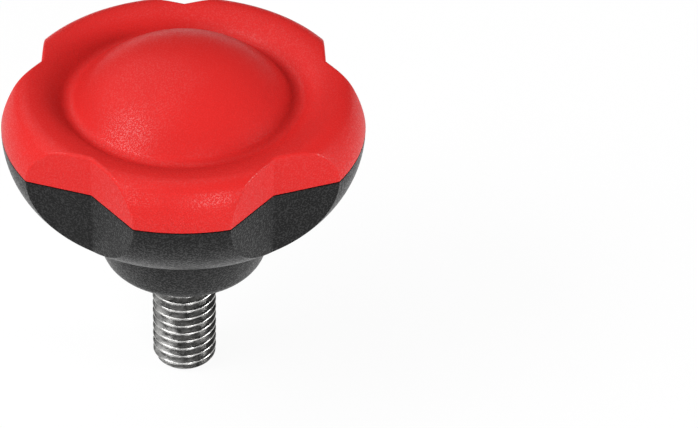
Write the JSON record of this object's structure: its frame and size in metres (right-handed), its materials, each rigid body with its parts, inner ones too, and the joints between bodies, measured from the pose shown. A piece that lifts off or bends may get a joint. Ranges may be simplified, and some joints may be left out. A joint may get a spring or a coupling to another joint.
{
  "type": "star knob",
  "caption": "Lobed star grip knob with a domed two-colour moulded head and a threaded stud for clamping and adjusting by hand.",
  "frame": {"origin": "centre of the hub's flat seating face, where the stud leaves the plastic", "axes": "+Z along the knob's axis towards the domed crown, the stud points along -Z, and one lobe faces -Y"},
  "size_m": [0.055, 0.0532, 0.058],
  "materials": {
    "red_cover": "fine spark-eroded satin grain",
    "black_body": "fine spark-eroded matt grain",
    "stud_steel": "zinc-plated, rolled thread"
  },
  "bodies": {
    "root": {"cover_cap": "red_cover", "grip_body": "black_body", "threaded_stud": "stud_steel"}
  },
  "joints": []
}
